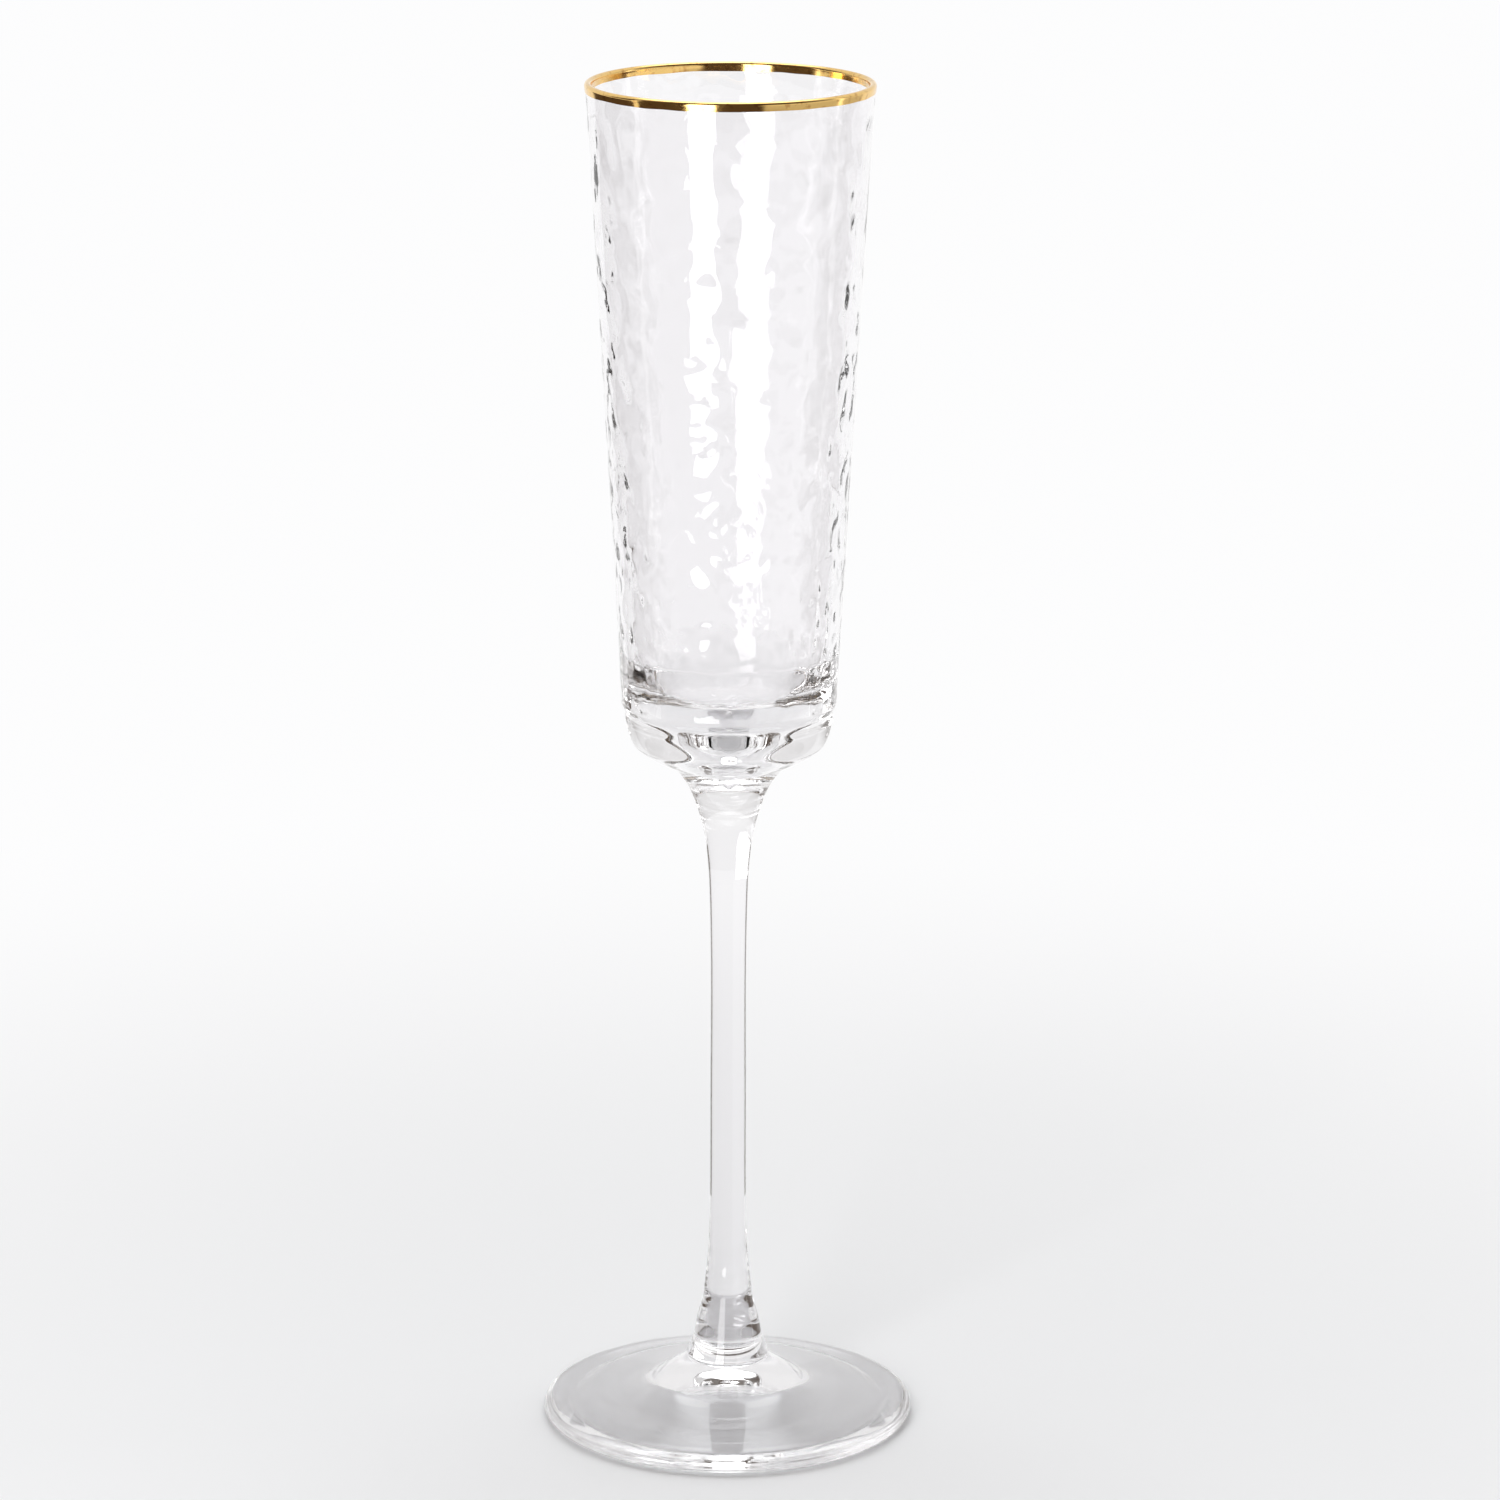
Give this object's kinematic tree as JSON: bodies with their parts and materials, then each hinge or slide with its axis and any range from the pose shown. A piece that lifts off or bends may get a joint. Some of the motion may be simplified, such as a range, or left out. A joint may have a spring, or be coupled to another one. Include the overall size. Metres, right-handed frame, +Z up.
{
  "type": "champagne flute",
  "caption": "Tall slim stemmed drinking glass: hammered tapering bowl on a thick clear base, drawn stem, bell collar, round foot and a gold lip.",
  "frame": {"origin": "centre of the foot, on the table plane that the resting ring stands on", "axes": "+Z up along the axis of the glass, from the foot to the lip; X and Y are equal, because the glass is round"},
  "size_m": [0.0713, 0.0714, 0.26],
  "materials": {
    "clear_glass": "clear, fire polished, hammered on the bowl",
    "gilding": "bright fired gold"
  },
  "bodies": {
    "root": {"bowl": "clear_glass", "gold_rim": "gilding", "stem": "clear_glass", "stem_collar": "clear_glass", "foot": "clear_glass"}
  },
  "joints": []
}
